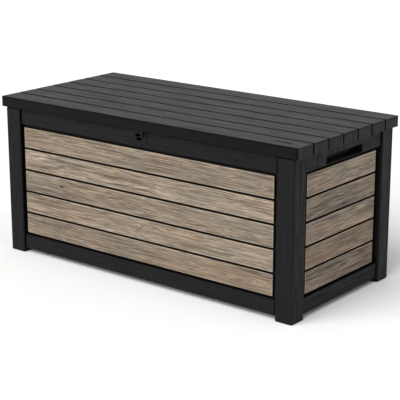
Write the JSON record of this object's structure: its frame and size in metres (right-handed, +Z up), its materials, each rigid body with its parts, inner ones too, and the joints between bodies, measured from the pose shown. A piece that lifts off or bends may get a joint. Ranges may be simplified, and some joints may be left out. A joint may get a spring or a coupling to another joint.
{
  "type": "deck storage box",
  "caption": "Large outdoor resin storage box with wood-look board walls, corner post feet and a hinged plank-pattern lid on gas struts.",
  "frame": {"origin": "centre of the footprint on the ground", "axes": "+X along the box to the right seen from the front, +Y from the front to the hinged back, +Z up"},
  "size_m": [1.55, 0.72, 0.694],
  "materials": {
    "body_resin": "dark grey moulded resin with a shallow embossed wood grain",
    "lid_resin": "dark grey moulded resin with an embossed wood grain along the planks",
    "liner_resin": "dark grey moulded resin, fine stipple",
    "board_resin": "weathered grey-brown wood look with fine grain",
    "badge_resin": "plain satin black",
    "rubber_pad": "matt black",
    "fitting_steel": "black powder coat",
    "strut_paint": "smooth black paint",
    "beam_steel": "zinc plated",
    "bright_steel": "zinc plated",
    "rod_chrome": "polished"
  },
  "bodies": {
    "box": {"front_left_post": "body_resin", "front_right_post": "body_resin", "back_left_post": "body_resin", "back_right_post": "body_resin", "front_panel": "body_resin", "back_panel": "body_resin", "right_panel": "body_resin", "left_panel": "body_resin", "floor_panel": "body_resin", "left_handle": "body_resin", "right_handle": "body_resin", "front_board_1": "board_resin", "front_board_2": "board_resin", "front_board_3": "board_resin", "front_board_4": "board_resin", "front_board_5": "board_resin", "back_board_1": "board_resin", "back_board_2": "board_resin", "back_board_3": "board_resin", "back_board_4": "board_resin", "back_board_5": "board_resin", "right_board_1": "board_resin", "right_board_2": "board_resin", "right_board_3": "board_resin", "right_board_4": "board_resin", "right_board_5": "board_resin", "left_board_1": "board_resin", "left_board_2": "board_resin", "left_board_3": "board_resin", "left_board_4": "board_resin", "left_board_5": "board_resin", "foot_pads": "rubber_pad", "lock_plate": "body_resin", "hinge_base_left": "fitting_steel", "hinge_base_centre": "fitting_steel", "hinge_base_right": "fitting_steel", "strut_foot_left": "fitting_steel", "strut_foot_right": "fitting_steel", "hinge_screws": "bright_steel", "strut_screws": "bright_steel", "hinge_pins": "bright_steel"},
    "lid": {"lid_shell": "lid_resin", "lid_liner": "liner_resin", "lid_badge": "badge_resin", "lid_beam_front": "beam_steel", "lid_beam_back": "beam_steel", "lid_buffers": "rubber_pad", "lock_tongue": "lid_resin", "hinge_leaf_left": "fitting_steel", "hinge_leaf_centre": "fitting_steel", "hinge_leaf_right": "fitting_steel", "strut_head_left": "fitting_steel", "strut_head_right": "fitting_steel", "lid_screws": "bright_steel", "fitting_screws": "bright_steel"},
    "strut_tube_left": {"strut_tube_left": "strut_paint"},
    "strut_rod_left": {"strut_rod_left": "rod_chrome"},
    "strut_tube_right": {"strut_tube_right": "strut_paint"},
    "strut_rod_right": {"strut_rod_right": "rod_chrome"}
  },
  "joints": [
    {"name": "lid_hinge", "type": "hinge", "parent": "box", "child": "lid", "pos_m": [0, 0.35075, 0.66], "axis": [-1, 0, 0], "range_deg": [0, 72]},
    {"name": "strut_left_foot_pivot", "type": "hinge", "parent": "box", "child": "strut_tube_left", "pos_m": [-0.698, 0.252, 0.41948], "axis": [-1, 0, 0], "range_deg": [0, 36]},
    {"name": "strut_left_head_pivot", "type": "hinge", "parent": "lid", "child": "strut_rod_left", "pos_m": [-0.698, 0.09103, 0.648], "axis": [1, 0, 0], "range_deg": [0, 36]},
    {"name": "strut_right_foot_pivot", "type": "hinge", "parent": "box", "child": "strut_tube_right", "pos_m": [0.698, 0.252, 0.41948], "axis": [-1, 0, 0], "range_deg": [0, 36]},
    {"name": "strut_right_head_pivot", "type": "hinge", "parent": "lid", "child": "strut_rod_right", "pos_m": [0.698, 0.09103, 0.648], "axis": [1, 0, 0], "range_deg": [0, 36]}
  ],
  "couplings": [
    {"joint": "strut_left_foot_pivot", "follows": "lid_hinge", "ratio": 0.5},
    {"joint": "strut_left_head_pivot", "follows": "lid_hinge", "ratio": 0.5},
    {"joint": "strut_right_foot_pivot", "follows": "lid_hinge", "ratio": 0.5},
    {"joint": "strut_right_head_pivot", "follows": "lid_hinge", "ratio": 0.5}
  ]
}
